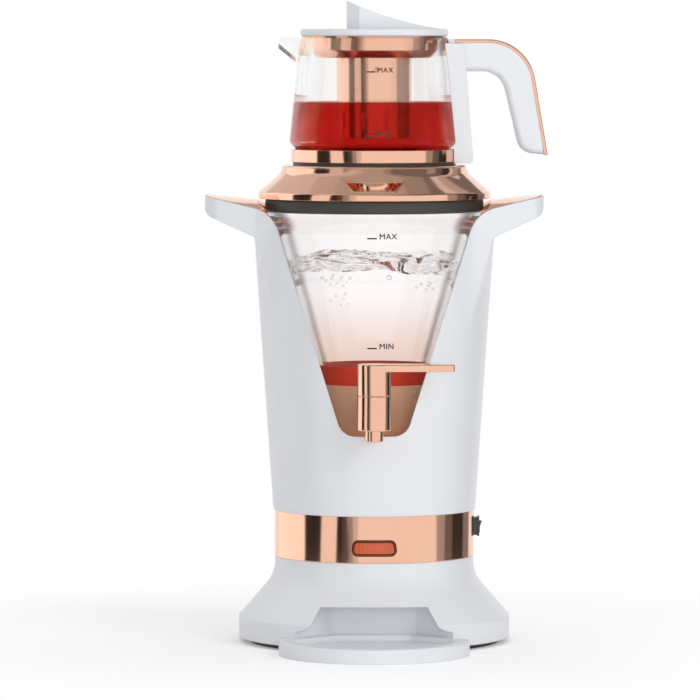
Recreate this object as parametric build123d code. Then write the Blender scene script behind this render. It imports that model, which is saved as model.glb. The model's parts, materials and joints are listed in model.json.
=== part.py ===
from build123d import *
import math
import os

# Electric samovar: a heated glass tank in a white housing, with a tap, a drip tray and a glass
# teapot that stands on the tank's cover. Millimetres, +Z up, front towards -Y.
# The origin is on the tank's axis, on the worktop. A "reach" is a distance from that axis.
# Heights are stacked: each piece starts from the one that carries it.

# Allowances
overrun = 5.0
slip = 0.3
running = 0.05
braze = 0.1

# Base skirt and the ring that stands on it
base_rim_radius = 108.4
base_rim_bottom = 4.0
base_rim_height = 17.0
rim_round = 3.0
flare_height = 33.0
flare_blend = 11.2
waist_radius = 79.5
waist_height = 15.0
skirt_wall = 3.0
neck_wall = 2.5
neck_overlap = 8.0
neck_spigot = 9.0

# Niche for the drip tray
niche_depth = 46.4
niche_half_width = 33.0
niche_splay_angle = 47.7
niche_back_height = 33.4
niche_ceiling_angle = 4.0
niche_mouth_half = 72.0
niche_mouth_height = 12.6
niche_arch_half = 51.5
niche_arch_height = 18.5
niche_arch_round = 10.0
niche_crown_half = 30.0
niche_crown_height = 56.0
niche_corner_round = 3.0
niche_wall = 2.4

# Bottom plate, foot and screws
plate_thickness = 3.0
foot_inset = 8.4
foot_width = 10.0
foot_setback = 6.0
boss_count = 4
boss_start_angle = 45.0
boss_inset = 24.4
boss_radius = 4.5
boss_height = 40.0
gusset_thickness = 2.4
screw_shank_radius = 1.7
screw_head_radius = 3.6
screw_head_height = 2.4
base_screw_length = 14.0

# Accent band with the pilot light
band_step = 0.5
band_wall = 2.0
band_height = 37.0
pilot_rise = 12.0
pilot_top_width = 29.6
pilot_bottom_width = 32.8
pilot_tall = 8.6
pilot_round = 2.6
pilot_bezel_margin = 1.8
pilot_bezel_proud = 0.5
pilot_lens_proud = 0.9
pilot_flange_margin = 4.0
pilot_flange_thickness = 2.0
pilot_lamp_radius = 3.0
pilot_lamp_length = 20.0

# Rocker switch on the right-hand side
switch_rise = 23.0
switch_standoff = 2.6
switch_flange_margin = 0.9
switch_flange_thickness = 1.6
switch_corner_round = 1.6
switch_wall = 1.4
switch_depth = 18.0
switch_cavity_depth = 9.0
rocker_half_tall = 4.8
rocker_half_wide = 3.6
rocker_rise = 3.6
rocker_back = 2.2
rocker_break_angle = 9.0
rocker_swing_room = 0.8
rocker_side_gap = 0.3
rocker_pin_radius = 1.0
rocker_pin_length = 1.2
rocker_pivot_inset = 3.0
blade_width = 6.3
blade_thickness = 0.8
blade_length = 8.0
switch_blade_offset = 5.0

# Mains lead inlet and terminal block
gland_rise = 8.5
gland_radius = 5.5
gland_bore_radius = 3.6
gland_flange_radius = 7.5
gland_flange_thickness = 2.0
gland_length = 11.0
block_inset = 32.4
block_length = 34.0
block_depth = 14.0
block_height = 12.0
block_well_count = 3
block_well_radius = 2.2
block_well_depth = 7.0
block_well_pitch = 10.0

# Body shell
shell_step = 1.0
shell_height = 246.0
shell_top_radius = 97.7
shell_wall = 3.0
ledge_rise = 50.0
ledge_height = 4.0
ledge_width = 6.0
window_rise = 13.7
window_bottom_half = 25.3
window_lean_angle = 17.5
window_bottom_round = 14.0
window_brow_round = 26.0

# Side handles of the body shell
wing_rise = 5.6
wing_length = 40.8
wing_top_angle = 13.4
wing_root_inset = 3.7
wing_root_depth = 32.8
wing_tip_depth = 14.8
wing_tip_round = 9.0
wing_root_half_depth = 45.6
wing_tip_half_depth = 34.0
wing_corner_round = 18.0
wing_inner_run = 34.0
wing_inner_half_depth = 67.0
wing_wall = 3.0
wing_pocket_gap = 3.3
wing_pocket_round = 4.0
cheek_height = 77.0
cheek_sink = 0.8
cheek_back_angle = 56.0
cheek_edge_angle = 34.0
cheek_front_angle = 9.0
trim_thickness = 1.8
trim_margin = 2.0
trim_overhang = 10.0
trim_inner_crown = 7.4
trim_tip_crown = 0.8

# Ring that carries the bowl in the shell
support_rise = 10.0
support_gap = 2.5
support_thickness = 3.0
support_shoulder = 12.0
support_rim_width = 9.0

# Metal bowl and silicone collar under the glass
bowl_radius = 47.5
bowl_wall = 1.5
bowl_drop = 6.0
bowl_height = 47.0
bowl_round = 12.0
bowl_flange_width = 12.5
bowl_flange_thickness = 2.0
bowl_screw_inset = 5.5
bowl_screw_count = 4
bowl_screw_start_angle = 45.0
bowl_screw_length = 12.0
seal_height = 15.0
seal_floor = 2.5
seal_ledge = 3.0

# Glass tank
tank_wall = 3.5
tank_foot_inset = 5.9
tank_lean_angle = 16.3
tank_lip_drop = 7.4
tank_lip_flare = 10.0
tank_lip_rise = 14.2
tank_lip_round = 14.0
tank_lip_land = 5.0
tank_lip_edge = 1.2

# Heater parts under the bowl
heat_plate_inset = 7.5
heat_plate_thickness = 4.5
element_ring_radius = 30.0
element_tube_radius = 3.8
element_arc_angle = 320.0
element_start_angle = 110.0
element_pin_radius = 2.2
element_pin_length = 18.0
thermostat_radius = 8.0
thermostat_height = 6.0
thermostat_offset = 11.0
thermostat_tab_width = 4.0
thermostat_tab_length = 7.0
thermostat_tab_offset = 4.5
fuse_radius = 2.2
fuse_length = 14.0
fuse_offset = 19.0

# Tap
tap_standoff = 23.0
tap_radius = 13.25
tap_inlet_lift = 30.0
tap_barrel_drop = 14.0
tap_barrel_rise = 13.0
tap_hub_height = 25.0
tap_split_gap = 0.4
tap_edge_round = 0.8
tap_inlet_radius = 8.0
tap_bore_radius = 4.2
tap_flange_radius = 12.0
tap_flange_thickness = 3.0
tap_thread_radius = 6.8
tap_thread_proud = 2.0
washer_thickness = 2.0
tap_nut_across = 19.0
tap_nut_thickness = 5.0
plug_radius = 9.0
plug_floor = 5.4
plug_port_radius = 4.0
stem_radius = 5.0
stem_length = 13.0
lever_length = 63.0
lever_thickness = 5.6
lever_root_width = 20.0
lever_end_width = 16.0
lever_corner_round = 2.5
lever_screw_radius = 2.0
nozzle_radius = 7.2
nozzle_length = 9.0
nozzle_socket = 4.0

# Tank cover with its gasket and steam vent
gasket_height = 10.4
gasket_overlap = 0.3
gasket_width = 10.8
gasket_round = 2.4
cover_overhang = 5.9
cover_rim_height = 5.0
cover_flare_height = 14.6
cover_flare_run = 17.2
cover_neck_height = 6.9
cover_neck_run = 2.6
cover_rim_round = 2.0
cover_shoulder_round = 8.0
cover_top_round = 2.0
cover_sheet = 1.6
cover_opening_radius = 42.0
vent_rise = 1.6
vent_height = 8.7
vent_top_half = 23.5
vent_bottom_half = 17.0
vent_depth = 8.0
vent_wall = 1.2
vent_slot_offset = 16.5
vent_slot_width = 3.0
vent_slot_height = 3.6
baffle_radius = 16.0
baffle_inset = 24.0
baffle_drop = 0.6

# Teapot
pot_foot_height = 2.7
pot_foot_setback = 1.6
pot_foot_width = 9.0
pot_ring_radius = 66.6
pot_ring_wall = 1.8
pot_ring_height = 9.8
pot_floor_thickness = 1.6
pot_wall = 2.4
pot_bottom_thickness = 3.0
pot_glass_gap = 4.3
pot_waist_drop = 1.5
pot_belly_overhang = 1.4
pot_belly_rise = 5.0
pot_body_height = 62.0
pot_body_taper = 6.1
pot_neck_height = 22.0
pot_neck_taper = 3.1
pot_foot_round = 3.0
pot_belly_round = 5.0
pot_shoulder_round = 40.0
spout_length = 17.7
spout_tip_depth = 8.4
spout_tip_half_width = 2.6
spout_root_depth = 33.0
spout_root_half_width = 17.0
spout_root_inset = 12.8
spout_wall = 2.0

# Teapot handle
grip_half_thickness = 11.0
grip_drop = 1.2
grip_depth = 25.6
grip_length = 92.3
grip_width = 22.0
grip_lean_angle = 9.6
grip_outer_round = 38.0
grip_inner_round = 18.5
grip_end_rise = 2.5
grip_end_round = 13.0
grip_edge_round = 5.0
grip_root_inset = 8.8
finger_gap = 29.2
leg_top_overhang = 9.7
leg_bottom_overhang = 12.4
leg_drop = 1.0
leg_half_width = 22.0
leg_edge_round = 3.0
strip_thickness = 1.2
strip_band = 2.8
strip_start_gap = 5.2
strip_edge_round = 1.0
pot_screw_radius = 1.4
pot_screw_head_radius = 2.6
pot_screw_head_height = 1.8
pot_screw_length = 10.0
pot_screw_offset = 7.0
pot_screw_rise = 3.7

# Infuser
collar_sheet = 1.2
collar_inset = 7.8
collar_flange_setback = 0.6
collar_depth = 16.0
collar_straight = 10.0
collar_chamfer = 5.0
plate_width = 16.0
basket_wall = 1.0
basket_clearance = 14.1
basket_flange_width = 3.0
basket_slot_columns = 10
basket_slot_width = 2.4
basket_slot_length = 14.0
basket_slot_rise = 14.0
basket_hole_radius = 1.8
basket_hole_count = 8
basket_hole_reach = 16.0

# Teapot lid
lid_overhang = 0.2
lid_thickness = 5.8
lid_edge_round = 2.2
lid_spigot_gap = 1.4
lid_spigot_wall = 2.4
lid_spigot_depth = 8.0
lid_seal_gap = 0.2
lid_seal_height = 3.0
lid_seal_drop = 3.0
fin_front = 22.0
fin_back_inset = 6.0
fin_height = 22.4
fin_nose_half_width = 3.0
fin_belly_half_width = 9.0
fin_belly_run = 10.0
fin_tail_half_width = 4.0
fin_sag = 3.0

# Drip tray
tray_setback = 5.4
tray_radius = 75.0
tray_height = 11.5
tray_gap = 0.5
tray_rim_width = 10.0
tray_wall = 2.5
tray_floor_lift = 4.5
tray_floor_thickness = 2.5
tray_corner_round = 4.0
tray_edge_round = 1.5

# Base: heights and radii that follow
base_rim_top = base_rim_bottom + base_rim_height
flare_top = base_rim_top + flare_height
waist_top = flare_top + waist_height
plate_top = base_rim_bottom + plate_thickness
niche_reach = base_rim_radius - niche_depth
boss_reach = base_rim_radius - boss_inset
block_reach = base_rim_radius - block_inset
gland_height = base_rim_bottom + gland_rise
foot_outer_radius = base_rim_radius - foot_inset
band_radius = waist_radius + band_step
shell_foot_radius = band_radius + shell_step
shell_foot = waist_top + band_height
neck_radius = shell_foot_radius - shell_wall - slip
neck_inner_radius = neck_radius - neck_wall
neck_top = shell_foot + neck_overlap
pilot_height = waist_top + pilot_rise
pilot_flange_half = pilot_bottom_width / 2 + pilot_flange_margin
pilot_flange_front = math.sqrt(neck_inner_radius**2 - pilot_flange_half**2) - slip
pilot_flange_back = pilot_flange_front - pilot_flange_thickness
switch_height = waist_top + switch_rise
switch_seat = band_radius + switch_standoff
switch_front = switch_seat + switch_flange_thickness
flare_round = flare_blend / math.tan(math.atan2(base_rim_radius - waist_radius, flare_height) / 2)

# Housing and tank: heights and radii that follow
shell_top = shell_foot + shell_height
ledge_top = shell_foot + ledge_rise
window_bottom = ledge_top + window_rise
wing_tip_top = shell_top + wing_rise
wing_root_bottom = wing_tip_top - wing_root_depth
wing_tip_bottom = wing_tip_top - wing_tip_depth
wing_root_reach = shell_top_radius - wing_root_inset
wing_inner_reach = wing_root_reach - wing_inner_run
wing_reach = wing_root_reach + wing_length
wing_pocket_reach = shell_top_radius + wing_pocket_gap
cheek_foot = wing_root_bottom - cheek_height
trim_inner_reach = wing_root_reach - trim_overhang
support_top = ledge_top + support_rise
bowl_bottom = support_top - bowl_drop
bowl_inner_radius = bowl_radius - bowl_wall
bowl_flange_top = support_top + bowl_flange_thickness
bowl_flange_radius = bowl_radius + bowl_flange_width
bowl_screw_reach = bowl_flange_radius - bowl_screw_inset
seal_bottom = bowl_bottom + bowl_height
seal_top = seal_bottom + seal_height
tank_foot = seal_bottom + seal_floor
tank_foot_radius = bowl_radius - tank_foot_inset
tank_lip_top = shell_top - tank_lip_drop
tank_neck = tank_lip_top - tank_lip_rise
tank_straight = tank_neck - tank_foot
tank_neck_radius = tank_foot_radius + tank_straight * math.tan(math.radians(tank_lean_angle))
tank_lip_radius = tank_neck_radius + tank_lip_flare
heat_plate_bottom = bowl_bottom - heat_plate_thickness

# Tap: places that follow
tap_reach = shell_foot_radius + tap_standoff
tap_inlet_height = bowl_bottom + tap_inlet_lift
tap_bottom = tap_inlet_height - tap_barrel_drop
tap_split = tap_inlet_height + tap_barrel_rise
tap_top = tap_split + tap_hub_height
tap_seat = bowl_radius + washer_thickness
nut_seat = math.sqrt(bowl_inner_radius**2 - tap_flange_radius**2) - washer_thickness
nut_end = nut_seat - tap_nut_thickness
tap_thread_end = nut_end - tap_thread_proud
plug_bottom = tap_bottom + plug_floor
nozzle_tip = tap_bottom - nozzle_length

# Cover and teapot: heights and radii that follow
gasket_outer_radius = tank_lip_radius + gasket_overlap
gasket_inner_radius = gasket_outer_radius - gasket_width
cover_rim_radius = tank_lip_radius + cover_overhang
cover_rim_bottom = tank_lip_top + gasket_height
cover_rim_top = cover_rim_bottom + cover_rim_height
cover_shoulder_height = cover_rim_top + cover_flare_height
cover_shoulder_radius = cover_rim_radius - cover_flare_run
cover_top = cover_shoulder_height + cover_neck_height
cover_top_radius = cover_shoulder_radius - cover_neck_run
vent_bottom = cover_rim_top + vent_rise
vent_top = vent_bottom + vent_height
pot_floor = cover_top + pot_foot_height
pot_glass_bottom = pot_floor + pot_floor_thickness
pot_inside_bottom = pot_glass_bottom + pot_bottom_thickness
pot_ring_top = pot_floor + pot_ring_height
pot_foot_outer_radius = pot_ring_radius - pot_foot_setback
pot_ring_inner_radius = pot_ring_radius - pot_ring_wall
pot_glass_foot_radius = pot_ring_inner_radius - pot_glass_gap
pot_waist_height = pot_ring_top - pot_waist_drop
pot_belly_radius = pot_ring_radius + pot_belly_overhang
pot_belly_height = pot_ring_top + pot_belly_rise
pot_shoulder_radius = pot_belly_radius - pot_body_taper
pot_shoulder_height = pot_belly_height + pot_body_height
pot_rim_radius = pot_shoulder_radius - pot_neck_taper
pot_rim = pot_shoulder_height + pot_neck_height
spout_reach = pot_rim_radius + spout_length
spout_root_reach = pot_rim_radius - spout_root_inset
pot_screw_height = pot_glass_bottom + pot_screw_rise
pot_screw_seat = pot_ring_inner_radius - pot_screw_head_height / 2

# Handle, infuser and lid: heights and radii that follow
grip_top = pot_rim - grip_drop
grip_bottom = grip_top - grip_length
grip_inner_top = grip_top - grip_depth
grip_root_reach = pot_rim_radius - grip_root_inset
leg_top_reach = pot_shoulder_radius + leg_top_overhang
leg_bottom_reach = pot_ring_radius + leg_bottom_overhang
leg_bottom = pot_floor - leg_drop
leg_top = grip_top - strip_band - slip
grip_inner_reach = leg_top_reach + finger_gap
grip_outer_reach = grip_inner_reach + grip_width
strip_start_reach = pot_rim_radius + strip_start_gap
collar_radius = pot_rim_radius - collar_inset
collar_inner_radius = collar_radius - collar_sheet
collar_flange_radius = pot_rim_radius - collar_flange_setback
collar_bottom = pot_rim - collar_depth
collar_straight_bottom = pot_rim - collar_straight
collar_bottom_radius = collar_radius - collar_chamfer
infuser_plate_top = collar_bottom + collar_sheet
basket_radius = collar_bottom_radius - plate_width
basket_bottom = pot_inside_bottom + basket_clearance
lid_bottom = pot_rim + collar_sheet
lid_top = lid_bottom + lid_thickness
lid_radius = pot_rim_radius + lid_overhang
lid_spigot_radius = collar_inner_radius - lid_spigot_gap
lid_seal_radius = collar_inner_radius - lid_seal_gap
fin_peak = lid_top + fin_height
fin_back = lid_radius - fin_back_inset
tray_centre_reach = base_rim_radius - tray_setback


def tangent(angle):
    return math.tan(math.radians(angle))


def cosine(angle):
    return math.cos(math.radians(angle))


def polar(radius, angle):
    return radius * cosine(angle), radius * math.sin(math.radians(angle))


# Drawing helpers: faces are drawn flat and then extruded or turned


def outline(points, rounds):
    return make_face(FilletPolyline(*points, radius=rounds, close=True))


def polygon(points):
    return make_face(Polyline(*points, close=True))


def turned(face):
    return revolve(Plane.XZ * face, Axis.Z)


def forward(face, start, end):
    """A face drawn in X and Z, extruded from one reach in front of the axis to another."""
    return extrude(Plane.XZ.offset(start) * face, amount=end - start)


def upward(face, low, high):
    return extrude(Plane.XY.offset(low) * face, amount=high - low)


def sideways(face, start, end):
    """A face drawn in Y and Z, extruded from one X to another."""
    return extrude(Plane.YZ.offset(start) * face, amount=end - start)


def ring(outer, inner, low, high):
    return upward(Circle(outer) - Circle(inner), low, high)


def post(place, radius, low, high):
    return upward(Pos(*place) * Circle(radius), low, high)


def mirrored(points):
    """A left-right symmetric outline from its right half, listed from the bottom up."""
    return points + [(-x, y) for x, y in reversed(points)]


def screw(head_radius, head_height, shank_radius, length):
    """A pan-head screw that points up, with the underside of its head at zero."""
    head = upward(Circle(head_radius), -head_height, 0)
    return head + upward(Circle(shank_radius), 0, length)


def pattern(reach, count, start_angle):
    return [polar(reach, start_angle + 360 * i / count) for i in range(count)]


# Base


def niche_half(reach):
    return niche_half_width + (reach - niche_reach) * tangent(niche_splay_angle)


def niche_plan(grow, front, round_radius):
    back = niche_reach - grow
    side = grow / cosine(niche_splay_angle)
    back_half = niche_half(back) + side
    front_half = niche_half(front) + side
    points = [(back_half, -back), (front_half, -front), (-front_half, -front), (-back_half, -back)]
    return outline(points, [round_radius, 0, 0, round_radius])


def niche_arch(grow, low):
    """The niche seen from the front: wide over the tray, narrow where it runs out in the flare."""
    right = [
        (niche_mouth_half + grow, low),
        (niche_mouth_half + grow, niche_mouth_height + grow),
        (niche_arch_half + grow, niche_arch_height + grow),
        (niche_crown_half + grow, niche_crown_height + grow),
    ]
    rounds = [0, 0, niche_arch_round, 0]
    return outline(mirrored(right), rounds + rounds[::-1])


def niche_block(grow, low):
    """The niche's space, grown by a wall, from the given height up to its sloping ceiling."""
    back = niche_reach - grow
    front = base_rim_radius + overrun
    rise = grow / cosine(niche_ceiling_angle)
    back_top = niche_back_height - grow * tangent(niche_ceiling_angle) + rise
    front_top = niche_back_height + (front - niche_reach) * tangent(niche_ceiling_angle) + rise
    side = polygon([(-back, low), (-front, low), (-front, front_top), (-back, back_top)])
    plan = niche_plan(grow, front, niche_corner_round + grow)
    block = upward(plan, low, front_top) & sideways(side, -base_rim_radius - front, base_rim_radius + front)
    return block & forward(niche_arch(grow, low), back - overrun, front + overrun)


def skirt_body(inset, low, top):
    points = [
        (0, low),
        (base_rim_radius - inset, low),
        (base_rim_radius - inset, base_rim_top),
        (waist_radius - inset, flare_top),
        (waist_radius - inset, top),
        (0, top),
    ]
    return turned(outline(points, [0, 0, rim_round, flare_round, 0, 0]))


def pilot_opening(margin):
    """The pilot window seen from the front, a little wider at its foot."""
    low = pilot_height - pilot_tall / 2 - margin
    high = pilot_height + pilot_tall / 2 + margin
    right = [(pilot_bottom_width / 2 + margin, low), (pilot_top_width / 2 + margin, high)]
    return outline(mirrored(right), pilot_round + margin)


def switch_face(margin, corner_round):
    half_wide = rocker_half_wide + rocker_side_gap + margin
    half_tall = rocker_half_tall + rocker_swing_room + margin
    right = [(half_wide, switch_height - half_tall), (half_wide, switch_height + half_tall)]
    return outline(mirrored(right), corner_round)


def waist_openings():
    """The pilot window and the switch slot, cut through the band and the neck behind it."""
    window = forward(pilot_opening(pilot_bezel_margin + slip), pilot_flange_back, band_radius + overrun)
    slot = sideways(switch_face(switch_wall + slip, 0), band_radius - switch_depth, band_radius + overrun)
    return window + slot


def boss(angle):
    """Screw boss with a rib that joins it to the skirt's wall."""
    plan = Pos(boss_reach, 0) * Circle(boss_radius)
    plan += Pos(boss_reach, 0) * Rectangle(boss_inset, gusset_thickness, align=(Align.MIN, Align.CENTER))
    return Rot(0, 0, angle) * upward(plan, plate_top, plate_top + boss_height)


def base_skirt():
    outer = skirt_body(0, base_rim_bottom, waist_top)
    skirt = outer - skirt_body(skirt_wall, base_rim_bottom - overrun, waist_top + overrun)
    skirt += niche_block(niche_wall, base_rim_bottom) & outer
    for i in range(boss_count):
        skirt += boss(boss_start_angle + 360 * i / boss_count) & outer
    for place in pattern(boss_reach, boss_count, boss_start_angle):
        skirt -= post(place, screw_shank_radius + running, 0, base_screw_length + base_rim_bottom + slip)
    gland_hole = Pos(0, gland_height) * Circle(gland_radius + running)
    skirt -= forward(gland_hole, -base_rim_radius - overrun, 0)
    return skirt - niche_block(0, -overrun)


def waist_ring():
    """Inner ring behind the band: its foot plugs into the skirt and its top into the shell."""
    spigot_radius = waist_radius - skirt_wall - slip
    points = [
        (neck_inner_radius, waist_top - neck_spigot),
        (spigot_radius, waist_top - neck_spigot),
        (spigot_radius, waist_top),
        (neck_radius, waist_top),
        (neck_radius, neck_top),
        (neck_inner_radius, neck_top),
    ]
    return turned(polygon(points)) - waist_openings()


def bottom_plate():
    plate = upward(Circle(base_rim_radius - skirt_wall - slip), base_rim_bottom, plate_top)
    for place in pattern(boss_reach, boss_count, boss_start_angle):
        plate -= post(place, screw_shank_radius + slip, 0, plate_top + overrun)
    return plate - niche_block(niche_wall + slip, 0)


def foot_ring():
    foot = ring(foot_outer_radius, foot_outer_radius - foot_width, 0, base_rim_bottom)
    return foot - upward(niche_plan(foot_setback, base_rim_radius, 0), -overrun, base_rim_bottom + overrun)


def base_screws():
    one = screw(screw_head_radius, screw_head_height, screw_shank_radius, base_screw_length)
    places = pattern(boss_reach, boss_count, boss_start_angle)
    return Part() + [Pos(x, y, base_rim_bottom) * one for x, y in places]


def accent_band():
    return ring(band_radius, band_radius - band_wall, waist_top, shell_foot) - waist_openings()


def pilot_bezel():
    frame = pilot_opening(pilot_bezel_margin) - pilot_opening(slip)
    block = forward(frame, neck_inner_radius, band_radius + overrun)
    return block & upward(Circle(band_radius + pilot_bezel_proud), waist_top, shell_foot)


def pilot_lens():
    lens = forward(pilot_opening(0), pilot_flange_back, band_radius + overrun)
    lens &= upward(Circle(band_radius + pilot_lens_proud), waist_top, shell_foot)
    return lens + forward(pilot_opening(pilot_flange_margin), pilot_flange_back, pilot_flange_front)


def pilot_lamp():
    reach = pilot_flange_back - braze - pilot_lamp_radius
    half = pilot_lamp_length / 2 - pilot_lamp_radius
    tube = Plane.YZ.offset(-half) * Pos(-reach, pilot_height) * Circle(pilot_lamp_radius)
    lamp = extrude(tube, amount=half + half)
    for x in (-half, half):
        lamp += Pos(x, -reach, pilot_height) * Sphere(pilot_lamp_radius)
    return lamp


# Rocker switch


def rocker_pivot():
    return switch_front - rocker_pivot_inset


def rocker_pins(radius, length):
    end = rocker_half_wide + length
    pin = Plane.XZ * Pos(rocker_pivot(), switch_height) * Circle(radius)
    return extrude(pin, amount=end, both=True)


def switch_rocker():
    end_rise = rocker_rise + rocker_half_tall * tangent(rocker_break_angle)
    points = [
        (-rocker_back, -rocker_half_tall),
        (end_rise, -rocker_half_tall),
        (rocker_rise, 0),
        (end_rise, rocker_half_tall),
        (-rocker_back, rocker_half_tall),
    ]
    tilted = Rot(0, 0, -rocker_break_angle) * polygon(points)
    face = Plane.XZ * Pos(rocker_pivot(), switch_height) * tilted
    return extrude(face, amount=rocker_half_wide, both=True) + rocker_pins(rocker_pin_radius, rocker_pin_length)


def switch_housing():
    back = band_radius - switch_depth
    flange = switch_face(switch_wall + switch_flange_margin, switch_corner_round)
    housing = sideways(switch_face(switch_wall, 0), back, switch_front)
    housing += sideways(flange, switch_seat, switch_front)
    housing -= sideways(switch_face(0, 0), switch_front - switch_cavity_depth, switch_front + overrun)
    return housing - rocker_pins(rocker_pin_radius + running, rocker_pin_length + slip)


def switch_terminals():
    back = band_radius - switch_depth
    blades = Part()
    for side in (-1, 1):
        height = switch_height + side * switch_blade_offset
        blades += sideways(Pos(0, height) * Rectangle(blade_width, blade_thickness), back - blade_length, back)
    return blades


# Mains inlet


def cord_gland():
    outside = base_rim_radius + gland_flange_thickness
    inside = base_rim_radius - gland_length
    body = forward(Pos(0, gland_height) * Circle(gland_radius), -outside, -inside)
    body += forward(Pos(0, gland_height) * Circle(gland_flange_radius), -outside, -base_rim_radius)
    bore = Pos(0, gland_height) * Circle(gland_bore_radius)
    return body - forward(bore, -outside - overrun, overrun - inside)


def terminal_block():
    plan = Pos(0, block_reach) * Rectangle(block_length, block_depth)
    top = plate_top + block_height
    block = upward(plan, plate_top, top)
    for i in range(block_well_count):
        x = (i - (block_well_count - 1) / 2) * block_well_pitch
        block -= post((x, block_reach), block_well_radius, top - block_well_depth, top + overrun)
    return block


# Body shell


def shell_radius(height):
    share = (height - shell_foot) / (shell_top - shell_foot)
    return shell_foot_radius + (shell_top_radius - shell_foot_radius) * share


def shell_cone(inset, low, high):
    points = [(0, low), (shell_radius(low) - inset, low), (shell_radius(high) - inset, high), (0, high)]
    return turned(polygon(points))


def wing_top(reach):
    return wing_tip_top - (wing_reach - reach) * tangent(wing_top_angle)


def window_face(grow):
    """The V window and the space above the handles, seen from the front."""
    lean = tangent(window_lean_angle)
    bottom = window_bottom - grow
    half = window_bottom_half + grow / cosine(window_lean_angle) - grow * lean
    drop = grow / cosine(wing_top_angle)
    slope = tangent(wing_top_angle)
    brow = (half + (wing_top(0) - drop - bottom) * lean) / (1 - slope * lean)
    outside = wing_reach + overrun
    ceiling = wing_top(outside) + overrun
    right = [
        (half, bottom),
        (brow, wing_top(brow) - drop),
        (outside, wing_top(outside) - drop),
        (outside, ceiling),
    ]
    rounds = [window_bottom_round + grow, window_brow_round - grow, 0, 0]
    return outline(mirrored(right), rounds + rounds[::-1])


def wing_plan(inset):
    """One handle from above: it narrows from the cone to its rounded tip."""
    points = [
        (wing_inner_reach, -wing_inner_half_depth + inset),
        (wing_root_reach, -wing_root_half_depth + inset),
        (wing_reach - inset, -wing_tip_half_depth + inset),
        (wing_reach - inset, wing_tip_half_depth - inset),
        (wing_root_reach, wing_root_half_depth - inset),
        (wing_inner_reach, wing_inner_half_depth - inset),
    ]
    tip_round = wing_corner_round - inset
    return outline(points, [0, 0, tip_round, tip_round, 0, 0])


def wing_column(inset):
    return upward(wing_plan(inset), cheek_foot, wing_tip_top + overrun)


def underside(reach):
    share = (reach - wing_root_reach) / (wing_reach - wing_root_reach)
    return wing_root_bottom + (wing_tip_bottom - wing_root_bottom) * share


def wing():
    ceiling = wing_tip_top + overrun
    points = [
        (wing_inner_reach, wing_root_bottom),
        (wing_root_reach, wing_root_bottom),
        (wing_reach, wing_tip_bottom),
        (wing_reach, ceiling),
        (wing_inner_reach, ceiling),
    ]
    side = outline(points, [0, 0, wing_tip_round, 0, 0])
    return forward(side, -wing_inner_half_depth, wing_inner_half_depth) & wing_column(0)


def wing_pocket():
    """Hollow of the handle, open at the top and closed by the trim plate."""
    lift = wing_wall / cosine(wing_top_angle)
    far = wing_reach - wing_wall
    ceiling = wing_tip_top + overrun
    points = [
        (wing_pocket_reach, underside(wing_pocket_reach) + lift),
        (far, underside(far) + lift),
        (far, ceiling),
        (wing_pocket_reach, ceiling),
    ]
    side = outline(points, [wing_pocket_round, wing_pocket_round, 0, 0])
    return forward(side, -wing_inner_half_depth, wing_inner_half_depth) & wing_column(wing_wall)


def cheek():
    """Flat facet that carries a handle's front corner down into the cone."""
    radius = shell_radius(cheek_foot) - cheek_sink
    foot = [polar(radius, angle) for angle in (cheek_back_angle, cheek_edge_angle, cheek_front_angle)]
    top_radius = shell_radius(wing_root_bottom) - cheek_sink
    top = [
        (wing_inner_reach, wing_inner_half_depth),
        (wing_root_reach, wing_root_half_depth),
        (top_radius, 0),
    ]
    foot.append((foot[0][0], foot[2][1]))
    top.append((wing_inner_reach, 0))
    sections = [
        Plane.XY.offset(cheek_foot) * polygon(foot),
        Plane.XY.offset(wing_root_bottom) * polygon(top),
    ]
    return loft(sections, ruled=True)


def crown_section(reach, half_depth):
    """Section across the trim plate, arched between the handle's front and back edges."""
    share = (wing_reach - reach) / (wing_reach - trim_inner_reach)
    rise = trim_tip_crown + (trim_inner_crown - trim_tip_crown) * share
    edge = wing_top(reach)
    crest = ThreePointArc((-half_depth, edge), (0, edge + rise), (half_depth, edge))
    corners = [(half_depth, edge), (half_depth, cheek_foot), (-half_depth, cheek_foot), (-half_depth, edge)]
    return Plane.YZ.offset(reach) * make_face([crest, Polyline(*corners)])


def handle_trim():
    """Arched plate let into the top of the right handle, down over its inner edge."""
    widening = (wing_inner_half_depth - wing_root_half_depth) / wing_inner_run
    sections = [
        crown_section(trim_inner_reach, wing_root_half_depth + trim_overhang * widening),
        crown_section(wing_root_reach, wing_root_half_depth),
        crown_section(wing_reach, wing_tip_half_depth),
    ]
    opening = forward(window_face(trim_thickness), -wing_inner_half_depth, wing_inner_half_depth)
    plate = loft(sections, ruled=True) & opening & wing_column(trim_margin)
    return plate - shell_cone(shell_wall, window_bottom, wing_tip_top + overrun)


def body_shell():
    shell = shell_cone(0, shell_foot, shell_top)
    right = wing() - wing_pocket()
    for corner in (cheek(), mirror(cheek(), Plane.XZ)):
        right += corner
    shell += right
    shell += mirror(right, Plane.YZ)
    shell -= shell_cone(shell_wall, shell_foot - overrun, wing_tip_top + overrun)
    shell -= forward(window_face(0), -wing_reach, wing_reach)
    trim = handle_trim()
    shell -= trim
    shell -= mirror(trim, Plane.YZ)
    ledge_radius = shell_radius(ledge_top) - shell_wall
    return shell + ring(ledge_radius + slip, ledge_radius - ledge_width, ledge_top - ledge_height, ledge_top)


# Tank


def tank_radius(height):
    return tank_foot_radius + (height - tank_foot) * tangent(tank_lean_angle)


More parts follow.
